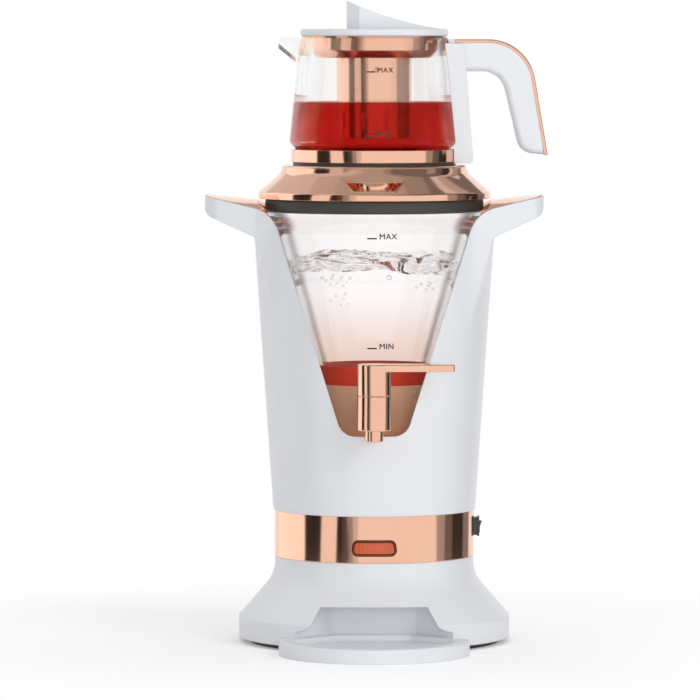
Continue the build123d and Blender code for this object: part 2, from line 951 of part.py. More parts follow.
def tank_glass():
    across = tank_wall / cosine(tank_lean_angle)
    lip_bottom = tank_lip_top - tank_wall
    points = [
        (tank_foot_radius - across, tank_foot),
        (tank_foot_radius, tank_foot),
        (tank_neck_radius, tank_neck),
        (tank_lip_radius, lip_bottom),
        (tank_lip_radius, tank_lip_top),
        (tank_lip_radius - tank_lip_land, tank_lip_top),
        (tank_neck_radius - across, tank_neck),
    ]
    rounds = [0, 0, tank_lip_round, tank_lip_edge, tank_lip_edge, 0, tank_lip_round]
    return turned(outline(points, rounds))


def tank_seal():
    inner = tank_foot_radius - seal_ledge
    points = [
        (inner, seal_bottom),
        (bowl_radius, seal_bottom),
        (bowl_radius, seal_top),
        (tank_radius(seal_top) + braze, seal_top),
        (tank_foot_radius + braze, tank_foot),
        (inner, tank_foot),
    ]
    return turned(polygon(points))


def bowl_profile(inset, top):
    points = [
        (0, bowl_bottom + inset),
        (bowl_radius - inset, bowl_bottom + inset),
        (bowl_radius - inset, top),
        (0, top),
    ]
    return turned(outline(points, [0, bowl_round - inset, 0, 0]))


def tank_bowl():
    flange = ring(bowl_flange_radius, bowl_inner_radius, support_top, bowl_flange_top)
    bowl = bowl_profile(0, seal_bottom) + flange - bowl_profile(bowl_wall, seal_bottom + overrun)
    for place in pattern(bowl_screw_reach, bowl_screw_count, bowl_screw_start_angle):
        bowl -= post(place, screw_shank_radius + slip, bowl_bottom, seal_bottom)
    hole = Pos(0, tap_inlet_height) * Circle(tap_thread_radius + slip)
    return bowl - forward(hole, 0, bowl_radius + overrun)


def tank_support():
    """Conical ring between the shell's ledge and the bowl's flange."""
    inner = bowl_radius + support_gap
    shoulder = inner + support_shoulder
    rim_radius = shell_radius(ledge_top) - shell_wall - slip
    rim_top = ledge_top + support_thickness
    points = [
        (inner, support_top - support_thickness),
        (inner, support_top),
        (shoulder, support_top),
        (rim_radius - support_rim_width, rim_top),
        (rim_radius, rim_top),
        (rim_radius, ledge_top),
        (rim_radius - support_rim_width, ledge_top),
        (shoulder, support_top - support_thickness),
    ]
    support = turned(polygon(points))
    for place in pattern(bowl_screw_reach, bowl_screw_count, bowl_screw_start_angle):
        support -= post(place, screw_shank_radius + running, ledge_top - overrun, support_top + overrun)
    return support


def bowl_screws():
    one = Rot(180, 0, 0) * screw(screw_head_radius, screw_head_height, screw_shank_radius, bowl_screw_length)
    places = pattern(bowl_screw_reach, bowl_screw_count, bowl_screw_start_angle)
    return Part() + [Pos(x, y, bowl_flange_top) * one for x, y in places]


# Heater


def heat_plate():
    return upward(Circle(bowl_radius - heat_plate_inset), heat_plate_bottom, bowl_bottom)


def heating_element():
    height = heat_plate_bottom - braze - element_tube_radius
    section = Plane.XZ * Pos(element_ring_radius, height) * Circle(element_tube_radius)
    element = Rot(0, 0, element_start_angle) * revolve(section, Axis.Z, element_arc_angle)
    for angle in (element_start_angle, element_start_angle + element_arc_angle):
        place = polar(element_ring_radius, angle)
        element += Pos(*place, height) * Sphere(element_tube_radius)
        element += post(place, element_pin_radius, height - element_pin_length, height)
    return element


def disc_thermostat(x):
    """A disc thermostat against the heat plate, with two connection tabs below."""
    low = heat_plate_bottom - thermostat_height
    thermostat = post((x, 0), thermostat_radius, low, heat_plate_bottom)
    for side in (-1, 1):
        tab = Pos(x, side * thermostat_tab_offset) * Rectangle(thermostat_tab_width, blade_thickness)
        thermostat += upward(tab, low - thermostat_tab_length, low)
    return thermostat


def thermal_fuse():
    height = heat_plate_bottom - braze - fuse_radius
    return sideways(Pos(-fuse_offset, height) * Circle(fuse_radius), -fuse_length / 2, fuse_length / 2)


# Tap


def inlet_bar(radius, start, end):
    return forward(Pos(0, tap_inlet_height) * Circle(radius), start, end)


def tap_barrel(radius, low, high):
    return post((0, -tap_reach), radius, low, high)


def tap_body():
    body = tap_barrel(tap_radius, tap_bottom, tap_split)
    body = fillet(body.edges().group_by(Axis.Z)[0], tap_edge_round)
    body += inlet_bar(tap_inlet_radius, tap_seat, tap_reach)
    body += inlet_bar(tap_flange_radius, tap_seat, tap_seat + tap_flange_thickness)
    body += inlet_bar(tap_thread_radius, tap_thread_end, tap_seat)
    body -= inlet_bar(tap_bore_radius, tap_thread_end - overrun, tap_reach)
    body -= tap_barrel(plug_radius, plug_bottom, tap_split + overrun)
    body -= tap_barrel(tap_bore_radius, tap_bottom - overrun, plug_bottom + slip)
    return body - tap_barrel(nozzle_radius + running, tap_bottom - overrun, tap_bottom + nozzle_socket)


def tap_washers():
    """Saddle washers that seat the tap's flat flange and nut on the round bowl wall."""
    outer = inlet_bar(tap_flange_radius, 0, tap_seat) - upward(Circle(bowl_radius), 0, seal_bottom)
    inner = inlet_bar(tap_flange_radius, nut_seat, tap_seat) & upward(Circle(bowl_inner_radius), 0, seal_bottom)
    return outer + inner - inlet_bar(tap_thread_radius + running, 0, tap_seat + overrun)


def tap_nut():
    face = RegularPolygon(tap_nut_across / 2, 6, major_radius=False)
    face -= Circle(tap_thread_radius + running)
    return forward(Pos(0, tap_inlet_height) * face, nut_end, nut_seat)


def tap_nozzle():
    nozzle = tap_barrel(nozzle_radius, nozzle_tip, tap_bottom + nozzle_socket)
    nozzle = fillet(nozzle.edges().group_by(Axis.Z)[0], tap_edge_round)
    return nozzle - tap_barrel(tap_bore_radius, nozzle_tip - overrun, tap_bottom + nozzle_socket + overrun)


def tap_plug():
    """Valve plug: an elbow port that meets the inlet after a quarter turn of the lever."""
    plug = tap_barrel(plug_radius - running, plug_bottom + running, tap_split)
    plug += tap_barrel(stem_radius, tap_split, tap_split + stem_length)
    plug -= tap_barrel(plug_port_radius, plug_bottom - overrun, tap_inlet_height)
    port = Plane.YZ * Pos(-tap_reach, tap_inlet_height) * Circle(plug_port_radius)
    return plug - extrude(port, amount=-tap_radius)


def tap_lever():
    low = tap_split + tap_split_gap
    hub = tap_barrel(tap_radius, low, tap_top)
    points = [
        (0, lever_root_width / 2),
        (0, -lever_root_width / 2),
        (lever_length, -lever_end_width / 2),
        (lever_length, lever_end_width / 2),
    ]
    arm = outline(points, [0, 0, lever_corner_round, lever_corner_round])
    lever = hub + upward(Pos(0, -tap_reach) * arm, tap_top - lever_thickness, tap_top)
    lever = fillet(lever.edges().group_by(Axis.Z)[-1], tap_edge_round)
    lever -= tap_barrel(stem_radius + running, low - overrun, tap_split + stem_length + slip)
    return lever - lever_screw_bar(lever_screw_radius + running, tap_radius + overrun)


def lever_screw_bar(radius, length):
    """A bar from the stem out through the back of the hub."""
    height = tap_split + stem_length / 2
    start = tap_reach - stem_radius - running
    return forward(Pos(0, height) * Circle(radius), start - length, start)


def lever_screw():
    return lever_screw_bar(lever_screw_radius, tap_radius - stem_radius - tap_edge_round)


# Tank cover


def cover_body(inset, low, top):
    points = [
        (0, low),
        (cover_rim_radius - inset, low),
        (cover_rim_radius - inset, cover_rim_top),
        (cover_shoulder_radius - inset, cover_shoulder_height),
        (cover_top_radius - inset, top),
        (0, top),
    ]
    return turned(outline(points, [0, 0, cover_rim_round, cover_shoulder_round, cover_top_round, 0]))


def vent_prism(inset):
    right = [(vent_bottom_half - inset, vent_bottom + inset), (vent_top_half - inset, vent_top - inset)]
    return forward(polygon(mirrored(right)), cover_opening_radius, cover_rim_radius + overrun)


def cover_top_plate(low, high):
    return upward(Circle(cover_rim_radius), low, high)


def tank_cover():
    cover = cover_body(0, cover_rim_bottom, cover_top)
    cover -= cover_body(cover_sheet, cover_rim_bottom - overrun, cover_top - cover_sheet)
    cover -= cover_top_plate(cover_top - cover_sheet, cover_top + overrun)
    return cover - vent_prism(-braze)


def pot_seat():
    """Top plate of the cover, with the opening that lets the steam up to the teapot."""
    seat = cover_body(0, cover_rim_bottom, cover_top) & cover_top_plate(cover_top - cover_sheet, cover_top)
    return seat - upward(Circle(cover_opening_radius), cover_rim_bottom, cover_top + overrun)


def gasket_holder():
    """Flat ring let into the cover's rim, over the gasket."""
    outer = cover_rim_radius - cover_sheet - braze
    return ring(outer, gasket_inner_radius, cover_rim_bottom, cover_rim_bottom + cover_sheet)


def steam_vent():
    """Scoop set into the front of the cover, with a round baffle between two slots in its floor."""
    scoop = vent_prism(0) & cover_body(0, cover_rim_bottom, cover_top)
    scoop -= cover_body(vent_depth + vent_wall, cover_rim_bottom, cover_top)
    scoop -= vent_prism(vent_wall) - cover_body(vent_depth, cover_rim_bottom, cover_top)
    height = (vent_top + vent_bottom) / 2
    ball = Pos(0, baffle_inset - cover_rim_radius, height) * Sphere(baffle_radius)
    ball &= vent_prism(0) & cover_body(baffle_drop, cover_rim_bottom, cover_top)
    scoop += ball - cover_body(vent_depth + vent_wall, cover_rim_bottom, cover_top)
    for x in (-vent_slot_offset, vent_slot_offset):
        slot = Pos(x, height) * Rectangle(vent_slot_width, vent_slot_height)
        scoop -= forward(slot, cover_opening_radius, cover_rim_radius)
    return scoop


def cover_gasket():
    points = [
        (gasket_inner_radius, tank_lip_top),
        (gasket_outer_radius, tank_lip_top),
        (gasket_outer_radius, cover_rim_bottom),
        (gasket_inner_radius, cover_rim_bottom),
    ]
    return turned(outline(points, [0, gasket_round, gasket_round, 0]))


# Teapot


def teapot_foot():
    return ring(pot_foot_outer_radius, pot_foot_outer_radius - pot_foot_width, cover_top, pot_floor)


def teapot_base():
    base = ring(pot_ring_radius, pot_ring_inner_radius, pot_floor, pot_ring_top)
    return base - pot_screw_bars(pot_screw_radius + slip, pot_screw_length)


def teapot_plate():
    return upward(Circle(pot_ring_inner_radius - braze), pot_floor, pot_glass_bottom)


def pot_body(inset, bottom, top):
    points = [
        (0, bottom),
        (pot_glass_foot_radius - inset, bottom),
        (pot_glass_foot_radius - inset, pot_waist_height),
        (pot_belly_radius - inset, pot_belly_height),
        (pot_shoulder_radius - inset, pot_shoulder_height),
        (pot_rim_radius - inset, top),
        (0, top),
    ]
    rounds = [0, pot_foot_round, pot_foot_round, pot_belly_round, pot_shoulder_round, 0, 0]
    return turned(outline(points, rounds))


def spout_section(reach, half_width, bottom, top):
    face = polygon([(-half_width, top), (0, bottom), (half_width, top)])
    return Plane.YZ.offset(-reach) * face


def spout(inset, top):
    """Beak pulled out of the rim on the left, a V that narrows to its tip."""
    lift = inset + inset
    root_low = pot_rim - spout_root_depth + lift
    tip_low = pot_rim - spout_tip_depth + lift
    root = spout_section(spout_root_reach, spout_root_half_width - inset, root_low, top)
    tip = spout_section(spout_reach, spout_tip_half_width - inset / 2, tip_low, top)
    return loft([root, tip], ruled=True)


def teapot_glass():
    pot = pot_body(0, pot_glass_bottom, pot_rim) + spout(0, pot_rim)
    pot -= pot_body(pot_wall, pot_glass_bottom - overrun, pot_rim)
    pot -= upward(Circle(pot_belly_radius), pot_glass_bottom - overrun, pot_inside_bottom)
    return pot - spout(spout_wall, pot_rim)


def teapot_floor():
    """Glass disc fused to the foot of the teapot's wall."""
    disc = upward(Circle(pot_belly_radius), pot_glass_bottom, pot_inside_bottom)
    return pot_body(0, pot_glass_bottom, pot_rim) & disc


def pot_screw_bars(radius, length):
    """Two bars along X, from inside the base ring into the handle's leg."""
    bars = Part()
    for side in (-1, 1):
        face = Pos(side * pot_screw_offset, pot_screw_height) * Circle(radius)
        bars += sideways(face, pot_screw_seat, pot_screw_seat + length)
    return bars


def handle_screws():
    screws = pot_screw_bars(pot_screw_radius, pot_screw_length)
    return screws + pot_screw_bars(pot_screw_head_radius, -pot_screw_head_height)


def grip_side(height, inset):
    """X of the handle's outer side, moved inwards by an inset square to it."""
    return grip_outer_reach + (grip_top - height) * tangent(grip_lean_angle) - inset / cosine(grip_lean_angle)


def grip_path(inset, start):
    top = grip_top - inset
    points = [(start, top), (grip_side(top, inset), top), (grip_side(grip_bottom, inset), grip_bottom)]
    return FilletPolyline(*points, radius=[grip_outer_round - inset])


def strip_zone(near, far, half):
    """Space between two insets of the handle's outer line, from its top end to its free end."""
    outer = grip_path(near, strip_start_reach)
    inner = grip_path(far, strip_start_reach)
    face = make_face([outer, inner, Line(outer @ 0, inner @ 0), Line(outer @ 1, inner @ 1)])
    return extrude(Plane.XZ * face, amount=half, both=True)


def on_side(edge):
    """True for the edges round one of the handle's two flat sides."""
    return abs((edge @ 0.5).Y) > grip_half_thickness - running


def on_outer_line(edge):
    """True for the long edges where the strip's face meets its two sides."""
    middle = edge @ 0.5
    flat = Vertex(middle.X, middle.Z, 0)
    return on_side(edge) and grip_path(0, grip_root_reach).distance_to(flat) < running


def on_finger_line(edge):
    """True for the edges of the sides that a hand closes round."""
    return on_side(edge) and not on_outer_line(edge) and (edge @ 0.5).X > grip_root_reach + running


def handle_strip():
    strip = strip_zone(0, strip_band, grip_half_thickness)
    strip = fillet(strip.edges().filter_by(on_outer_line), strip_edge_round)
    return strip - strip_zone(strip_thickness, strip_band + overrun, grip_half_thickness - strip_thickness)


def grip_profile():
    end_inner = grip_bottom + grip_end_rise
    points = [
        (grip_root_reach, grip_top),
        (grip_outer_reach, grip_top),
        (grip_side(grip_bottom, 0), grip_bottom),
        (grip_side(end_inner, 0) - grip_width, end_inner),
        (grip_inner_reach, grip_inner_top),
        (grip_root_reach, grip_inner_top),
    ]
    return outline(points, [0, grip_outer_round, 0, grip_end_round, grip_inner_round, 0])


def leg_profile():
    points = [
        (grip_root_reach, leg_bottom),
        (leg_bottom_reach, leg_bottom),
        (leg_top_reach, leg_top),
        (grip_root_reach, leg_top),
    ]
    return outline(points, [0, leg_edge_round, leg_edge_round, 0])


def teapot_handle():
    grip = extrude(Plane.XZ * grip_profile(), amount=grip_half_thickness, both=True)
    grip = fillet(grip.edges().filter_by(on_finger_line), grip_edge_round)
    grip -= strip_zone(0, strip_band, grip_half_thickness + overrun)
    grip += strip_zone(strip_thickness, strip_band + slip, grip_half_thickness - strip_thickness)
    grip += extrude(Plane.XZ * leg_profile(), amount=leg_half_width, both=True)
    grip -= pot_body(-slip, pot_floor - overrun, grip_top + overrun)
    grip -= upward(Circle(pot_ring_radius + slip), pot_floor - overrun, pot_ring_top + slip)
    return grip - pot_screw_bars(pot_screw_radius + running, pot_screw_length + slip)


# Infuser


def infuser_collar():
    points = [
        (collar_bottom_radius - collar_sheet, collar_bottom),
        (collar_bottom_radius, collar_bottom),
        (collar_radius, collar_straight_bottom),
        (collar_radius, pot_rim),
        (collar_flange_radius, pot_rim),
        (collar_flange_radius, lid_bottom),
        (collar_inner_radius, lid_bottom),
        (collar_inner_radius, collar_straight_bottom),
        (collar_bottom_radius - collar_sheet, infuser_plate_top),
    ]
    return turned(polygon(points))


def infuser_plate():
    """Flat ring in the foot of the collar, from which the basket hangs."""
    outer = collar_bottom_radius - collar_sheet - braze
    return ring(outer, basket_radius + slip, collar_bottom, infuser_plate_top)


def infuser_basket():
    """Tube with slots near its foot, hung on the plate by its flange."""
    top = infuser_plate_top + basket_wall
    bore = basket_radius - basket_wall
    basket = ring(basket_radius, bore, basket_bottom, top)
    basket += ring(basket_radius + basket_flange_width, bore, infuser_plate_top, top)
    slot = Rot(0, 0, 90) * SlotCenterToCenter(basket_slot_length - basket_slot_width, basket_slot_width)
    bar = sideways(Pos(0, basket_bottom + basket_slot_rise) * slot, -basket_radius, basket_radius)
    for column in range(basket_slot_columns // 2):
        basket -= Rot(0, 0, 360 * column / basket_slot_columns) * bar
    return basket


def basket_floor():
    high = basket_bottom + basket_wall
    floor = upward(Circle(basket_radius - basket_wall - braze), basket_bottom, high)
    for place in pattern(basket_hole_reach, basket_hole_count, 0):
        floor -= post(place, basket_hole_radius, basket_bottom - overrun, high + overrun)
    return floor


# Lid


def lid_fin():
    """Upright blade: steep in front, running out in a hollow curve towards the handle."""
    root = lid_bottom + lid_thickness / 2
    middle = ((fin_back - fin_front) / 2, (fin_peak + lid_top) / 2 - fin_sag)
    crest = ThreePointArc((-fin_front, fin_peak), middle, (fin_back, lid_top))
    sides = Polyline((fin_back, lid_top), (fin_back, root), (-fin_front, root), (-fin_front, fin_peak))
    blade = make_face([crest, sides])
    plan = polygon(
        [
            (-fin_front, -fin_nose_half_width),
            (fin_belly_run - fin_front, -fin_belly_half_width),
            (fin_back, -fin_tail_half_width),
            (fin_back, fin_tail_half_width),
            (fin_belly_run - fin_front, fin_belly_half_width),
            (-fin_front, fin_nose_half_width),
        ]
    )
    return forward(blade, -lid_radius, lid_radius) & upward(plan, root, fin_peak + overrun)


def lid_cap():
    points = [
        (0, lid_bottom),
        (lid_radius, lid_bottom),
        (lid_radius, lid_top),
        (0, lid_top),
    ]
    return turned(outline(points, [0, lid_edge_round, lid_edge_round, 0])) + lid_fin()


def lid_spigot():
    """Ring welded under the lid that centres it in the collar."""
    return ring(lid_spigot_radius, lid_spigot_radius - lid_spigot_wall, lid_bottom - lid_spigot_depth, lid_bottom)


def lid_seal():
    high = lid_bottom - lid_seal_drop
    return ring(lid_seal_radius, lid_spigot_radius, high - lid_seal_height, high)


# Drip tray


def tray_plan(inset):
    """Fan in the niche that opens into a round front."""
    front = Pos(0, -tray_centre_reach) * Circle(tray_radius - inset)
    fan = niche_plan(-tray_gap - inset, tray_centre_reach + slip, tray_corner_round)
    back = Pos(0, -tray_centre_reach) * Rectangle(
        base_rim_radius * 2, base_rim_radius, align=(Align.CENTER, Align.MAX)
    )
    return front & (fan + back)


def drip_tray():
    tray_floor_top = tray_floor_lift + tray_floor_thickness
    tray = upward(tray_plan(0), 0, tray_height)
    tray = fillet(tray.edges().group_by(Axis.Z)[-1], tray_edge_round)
    tray -= upward(tray_plan(tray_rim_width), tray_floor_top, tray_height + overrun)
    return tray - upward(tray_plan(tray_wall), -overrun, tray_floor_lift)


def all_pieces():
    trim = handle_trim()
    return {
        "foot_ring": foot_ring(),
        "bottom_plate": bottom_plate(),
        "base_screws": base_screws(),
        "base_skirt": base_skirt(),
        "waist_ring": waist_ring(),
        "accent_band": accent_band(),
        "pilot_bezel": pilot_bezel(),
        "pilot_lens": pilot_lens(),
        "pilot_lamp": pilot_lamp(),
        "switch_housing": switch_housing(),
        "switch_terminals": switch_terminals(),
        "switch_rocker": switch_rocker(),
        "cord_gland": cord_gland(),
        "terminal_block": terminal_block(),
        "body_shell": body_shell(),
        "handle_trim_right": trim,
        "handle_trim_left": mirror(trim, Plane.YZ),
        "tank_glass": tank_glass(),
        "tank_seal": tank_seal(),
        "tank_bowl": tank_bowl(),
        "tank_support": tank_support(),
        "bowl_screws": bowl_screws(),
        "heat_plate": heat_plate(),
        "heating_element": heating_element(),
        "boil_thermostat": disc_thermostat(-thermostat_offset),
        "warm_thermostat": disc_thermostat(thermostat_offset),
        "thermal_fuse": thermal_fuse(),
        "tap_body": tap_body(),
        "tap_washers": tap_washers(),
        "tap_nut": tap_nut(),
        "tap_nozzle": tap_nozzle(),
        "tap_plug": tap_plug(),
        "tap_lever": tap_lever(),
        "lever_screw": lever_screw(),
        "tank_cover": tank_cover(),
        "pot_seat": pot_seat(),
        "gasket_holder": gasket_holder(),
        "steam_vent": steam_vent(),
        "cover_gasket": cover_gasket(),
        "teapot_foot": teapot_foot(),
        "teapot_base": teapot_base(),
        "teapot_plate": teapot_plate(),
        "teapot_glass": teapot_glass(),
        "teapot_floor": teapot_floor(),
        "teapot_handle": teapot_handle(),
        "handle_strip": handle_strip(),
        "handle_screws": handle_screws(),
        "infuser_collar": infuser_collar(),
        "infuser_plate": infuser_plate(),
        "infuser_basket": infuser_basket(),
        "basket_floor": basket_floor(),
        "lid_cap": lid_cap(),
        "lid_spigot": lid_spigot(),
        "lid_seal": lid_seal(),
        "drip_tray": drip_tray(),
    }


os.makedirs("parts", exist_ok=True)
for name, piece in all_pieces().items():
    export_step(piece, f"parts/{name}.step")
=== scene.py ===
# %% [markdown]
# An electric samovar: a conical glass water tank in a white housing, with a tap in front and a glass
# teapot on top. The CAD model comes in as a fixed frame in metres, so every piece made here is placed
# by the CAD's own sizes. Blender adds what CAD leaves out: finishes, water, tea and printed marks.

# %% Load the frame
import json
import math
import bmesh
import bpy
from mathutils import Matrix, Vector, noise


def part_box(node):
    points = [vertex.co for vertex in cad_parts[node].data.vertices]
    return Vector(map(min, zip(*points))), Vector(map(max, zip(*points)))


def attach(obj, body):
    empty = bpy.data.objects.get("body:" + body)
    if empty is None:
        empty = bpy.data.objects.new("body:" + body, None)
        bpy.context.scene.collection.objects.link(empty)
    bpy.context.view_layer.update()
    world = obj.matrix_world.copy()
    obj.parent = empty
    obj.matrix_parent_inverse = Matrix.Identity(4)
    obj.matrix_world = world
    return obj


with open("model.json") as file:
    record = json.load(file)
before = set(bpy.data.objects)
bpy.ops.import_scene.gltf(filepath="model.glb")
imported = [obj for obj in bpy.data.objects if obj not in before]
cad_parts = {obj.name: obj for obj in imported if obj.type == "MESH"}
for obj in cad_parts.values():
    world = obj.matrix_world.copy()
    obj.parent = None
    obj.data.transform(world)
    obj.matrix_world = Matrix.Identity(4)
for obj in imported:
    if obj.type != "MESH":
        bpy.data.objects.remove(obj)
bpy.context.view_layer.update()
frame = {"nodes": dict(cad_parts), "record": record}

MM = 0.001

# %% [markdown]
# The camera. A product picture is taken from a few metres away with a long lens, which keeps upright
# edges upright. The lens stands a little below the lid, so the tray is seen from slightly above.

# %% Camera
camera_place = Vector((0.0, -4.36, 0.482))
camera_target = Vector((-0.0194, 0.0, 0.2332))
camera_data = bpy.data.cameras.new("studio_camera")
camera_data.sensor_width = 36.0
camera_data.lens = 280.3
camera = bpy.data.objects.new("studio_camera", camera_data)
bpy.context.collection.objects.link(camera)
camera.location = camera_place
camera.rotation_euler = (camera_target - camera_place).to_track_quat("-Z", "Y").to_euler()
bpy.context.scene.camera = camera
bpy.context.scene.view_settings.view_transform = "Standard"
print("camera", (camera_target - camera_place).length, "m from its target")

# %% [markdown]
# Colours are written as the hex values that a paint program shows. Shaders count in linear light, so
# one function converts them. A second small function adds a node, sets its values and links it: a
# material is then a list of plain steps.

# %% Colour and node helpers


def linear(code):
    """An sRGB hex colour as linear red, green, blue and alpha."""
    parts = [int(code[i:i + 2], 16) / 255 for i in (1, 3, 5)]
    return [p / 12.92 if p <= 0.04045 else ((p + 0.055) / 1.055) ** 2.4 for p in parts] + [1.0]


def add(tree, kind, sockets=None, **settings):
    """A new node. A socket's value is a number, a colour or another node's output to link."""
    node = tree.nodes.new(kind)
    for name, value in settings.items():
        setattr(node, name, value)
    for name, value in (sockets or {}).items():
        if isinstance(value, bpy.types.NodeSocket):
            tree.links.new(value, node.inputs[name])
        else:
            node.inputs[name].default_value = value
    return node


def new_material(name):
    """An empty material, its node tree and the object coordinates that place its patterns."""
    material = bpy.data.materials.new(name)
    material.use_nodes = True
    material.node_tree.nodes.clear()
    place = add(material.node_tree, "ShaderNodeTexCoord").outputs["Object"]
    return material, material.node_tree, place


def per_metre(size_mm):
    """Texture scale at which a pattern repeats about once in the given size."""
    return 1 / (size_mm * MM)


# %% [markdown]
# Most finishes here are one layer: a colour that drifts a little, a gloss that varies and a fine
# grain from the mould or the polish. A Bevel node rounds the sharp CAD edges in the shading, as every
# moulded or pressed edge is rounded. One recipe with real sizes serves them all, and each finish below
# says what it is made of.

# %% Recipe for an opaque finish


def opaque_finish(name, colours, gloss, cloud_mm, grain_mm, grain_depth_mm, edge_mm, **sockets):
    """A Principled surface: two colours and two roughness values that drift, with grain and soft edges."""
    material, tree, place = new_material(name)
    cloud = add(tree, "ShaderNodeTexNoise", {"Vector": place, "Scale": per_metre(cloud_mm), "Detail": 3.0})
    colour = add(tree, "ShaderNodeMix", {0: cloud.outputs[0], 6: linear(colours[0]), 7: linear(colours[1])},
                 data_type="RGBA")
    rough = add(tree, "ShaderNodeMapRange", {0: cloud.outputs[0], 3: gloss[0], 4: gloss[1]})
    edge = add(tree, "ShaderNodeBevel", {"Radius": edge_mm * MM}, samples=4)
    grain = add(tree, "ShaderNodeTexNoise", {"Vector": place, "Scale": per_metre(grain_mm), "Detail": 2.0})
    bump = add(tree, "ShaderNodeBump", {"Height": grain.outputs[0], "Distance": grain_depth_mm * MM,
                                        "Normal": edge.outputs[0]})
    surface = add(tree, "ShaderNodeBsdfPrincipled", {"Base Color": colour.outputs[2], "Roughness": rough.outputs[0],
                                                     "Normal": bump.outputs[0]})
    for socket, value in sockets.items():
        surface.inputs[socket.replace("_", " ")].default_value = value
    add(tree, "ShaderNodeOutputMaterial", {"Surface": surface.outputs[0]})
    return material


finishes = {}

# %% [markdown]
# White housing, tray, lid and handle: ABS from a polished mould. The eye sees a cool white with a
# broad soft sheen and a very faint ripple, so the grain is wide and shallow.

# %% White ABS
finishes["white_abs"] = opaque_finish(
    "moulded_white_abs", ("#E3E5EA", "#E8EAEE"), (0.26, 0.34), 60, 5, 0.012, 1.2, IOR=1.54)

# %% [markdown]
# Rose gold: steel and ABS plated with copper, polished and lacquered. A metal has no colour of its own
# but tints what it mirrors, so the colour below is the tint of its brightest reflection. The polished
# bowl under the tank would mirror the dim inside of the housing and turn dark, so it gets a mostly
# diffuse bright copper colour instead: a painted reflection.

# %% Rose gold plating
finishes["rose_gold"] = opaque_finish(
    "polished_rose_gold_plating", ("#F5C4A9", "#F0BBA0"), (0.08, 0.12), 45, 9, 0.004, 0.8, Metallic=1.0)
# The bowl's bright, mostly diffuse copper colour is a painted reflection.
bowl_painted_reflection = opaque_finish(
    "copper_painted_bowl_reflection", ("#FBCBA9", "#F5C09C"), (0.24, 0.32), 45, 1.5, 0.004, 0.8, Metallic=0.2)

# %% [markdown]
# Rubber parts: silicone from a matt mould. The red collar seals the glass, the dark rings seal the
# cover, the teapot and the foot. Both have a fine even grain and hardly any highlight. The dark ring
# under the teapot fills the shaded gap between the pot's base ring and the cover: a dark part put in as painted shade.

# %% Silicone
finishes["red_silicone"] = opaque_finish(
    "moulded_red_silicone", ("#D8412C", "#E04832"), (0.42, 0.55), 20, 1.2, 0.02, 0.6, IOR=1.41)
# Dark silicone; the ring under the teapot is painted shade in a gap.
finishes["dark_silicone"] = opaque_finish(
    "dark_silicone_and_painted_gap_shade", ("#3C3B36", "#474540"), (0.38, 0.52), 20, 1.2, 0.02, 0.6, IOR=1.41)

# %% [markdown]
# Plain engineering plastics: the glass-filled ring that carries the tank, and the black switch, gland
# and terminal block with the fine spark-erosion texture of such parts.

# %% Grey and black plastics
finishes["grey_plastic"] = opaque_finish(
    "glass_filled_grey_nylon", ("#8E8F91", "#9A9B9D"), (0.45, 0.6), 15, 1.0, 0.03, 0.6, IOR=1.53)
finishes["black_plastic"] = opaque_finish(
    "spark_textured_black_nylon", ("#33372F", "#3E423B"), (0.32, 0.45), 12, 0.9, 0.03, 0.5, IOR=1.53)

# %% [markdown]
# Small metal parts: zinc-plated screws and heater, turned brass in the tap and a cast aluminium heat
# plate. They are mostly hidden, but show when the cover is off.

# %% Small metal parts
finishes["steel"] = opaque_finish(
    "zinc_plated_steel", ("#BFC1C2", "#CBCCCB"), (0.22, 0.36), 8, 0.8, 0.01, 0.3, Metallic=1.0)
finishes["brass"] = opaque_finish(
    "turned_brass", ("#D9B86C", "#E2C47C"), (0.2, 0.32), 8, 0.8, 0.01, 0.3, Metallic=1.0)
finishes["aluminium"] = opaque_finish(
    "cast_aluminium", ("#C9CACB", "#D6D7D7"), (0.4, 0.55), 10, 1.5, 0.05, 0.4, Metallic=1.0)
# The frame round the pilot window is dark brown and half metallic.
finishes["pilot_frame"] = opaque_finish(
    "dark_brown_pilot_frame", ("#7A3A1C", "#6A2E14"), (0.2, 0.3), 8, 2.0, 0.004, 0.4, Metallic=0.6)

# %% [markdown]
# Pilot window: orange polycarbonate with fine upright ribs on its back and a neon lamp behind it. The
# glow is painted: a faint orange emission, a little stronger in the middle, stands in for the lamp's light.

# %% Pilot window


def pilot_finish():
    material, tree, place = new_material("ribbed_orange_polycarbonate_painted_glow")
    ribs = add(tree, "ShaderNodeTexWave", {"Vector": place, "Scale": per_metre(1.6) / (2 * math.pi), "Distortion": 0.0},
               bands_direction="X")
    bump = add(tree, "ShaderNodeBump", {"Height": ribs.outputs[1], "Distance": 0.15 * MM})
    low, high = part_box("pilot_lens")
    middle = [(a + b) / 2 for a, b in zip(low, high)]
    centred = add(tree, "ShaderNodeMapping", {"Vector": place, "Location": [-value for value in middle]})
    glow = add(tree, "ShaderNodeTexGradient", {"Vector": add(tree, "ShaderNodeMapping", {
        "Vector": centred.outputs[0], "Scale": (55, 0, 110)}).outputs[0]}, gradient_type="SPHERICAL")
    # Painted glow: emission from nought at the edge to 0.1 in the middle of the window.
    light = add(tree, "ShaderNodeMapRange", {0: glow.outputs[1], 3: 0.0, 4: 0.1})
    surface = add(tree, "ShaderNodeBsdfPrincipled", {
        "Base Color": linear("#C4532F"), "Roughness": 0.18, "IOR": 1.58, "Normal": bump.outputs[0],
        "Emission Color": linear("#F0703A"), "Emission Strength": light.outputs[0]})
    add(tree, "ShaderNodeOutputMaterial", {"Surface": surface.outputs[0]})
    return material


finishes["pilot_orange"] = pilot_finish()
